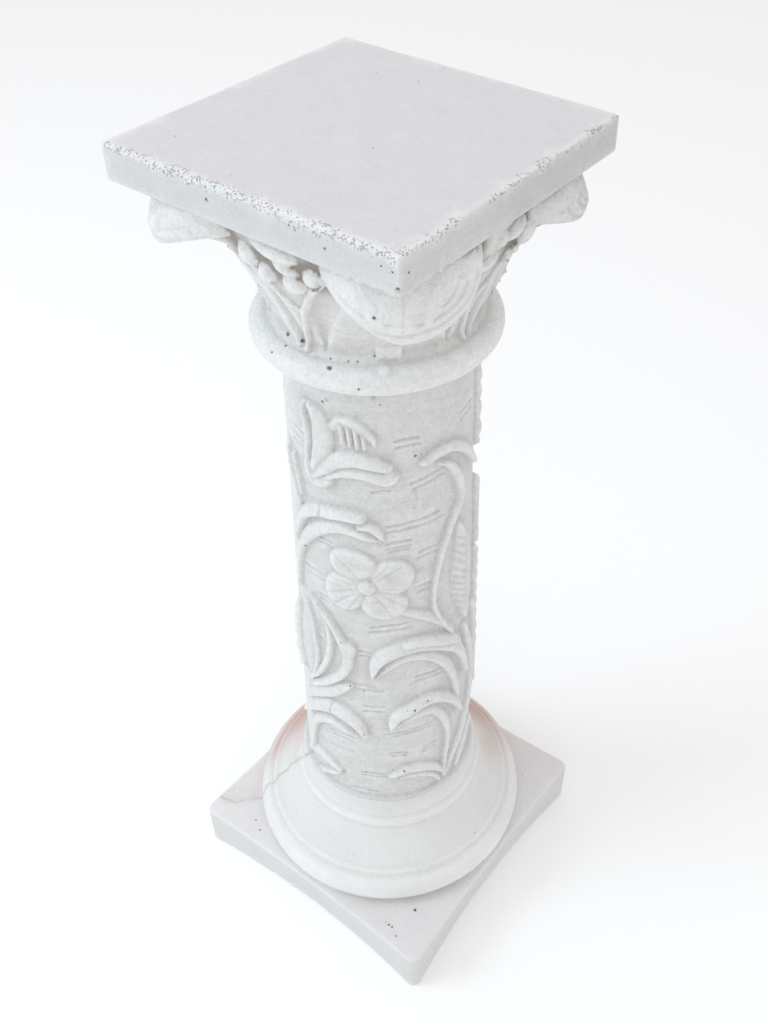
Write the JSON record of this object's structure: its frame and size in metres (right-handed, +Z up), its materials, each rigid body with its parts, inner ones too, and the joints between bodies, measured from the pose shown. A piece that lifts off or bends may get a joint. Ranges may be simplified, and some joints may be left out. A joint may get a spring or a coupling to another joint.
{
  "type": "decorative column",
  "caption": "Short plant column: square slab on a leafed capital, round shaft with scrolls and a flower in relief, moulded base on a plinth with bowed-in sides.",
  "frame": {"origin": "middle of the underside, on the surface that the column stands on", "axes": "+Z up along the shaft; X and Y run square to the sides of the slab and the plinth, and the corner between +X and -Y faces the viewer"},
  "size_m": [0.282, 0.282, 0.8],
  "materials": {
    "cast_stone": "matte white cast cement stone, with small air holes and a porous rim on the slab"
  },
  "bodies": {
    "root": {"column": "cast_stone"}
  },
  "joints": []
}
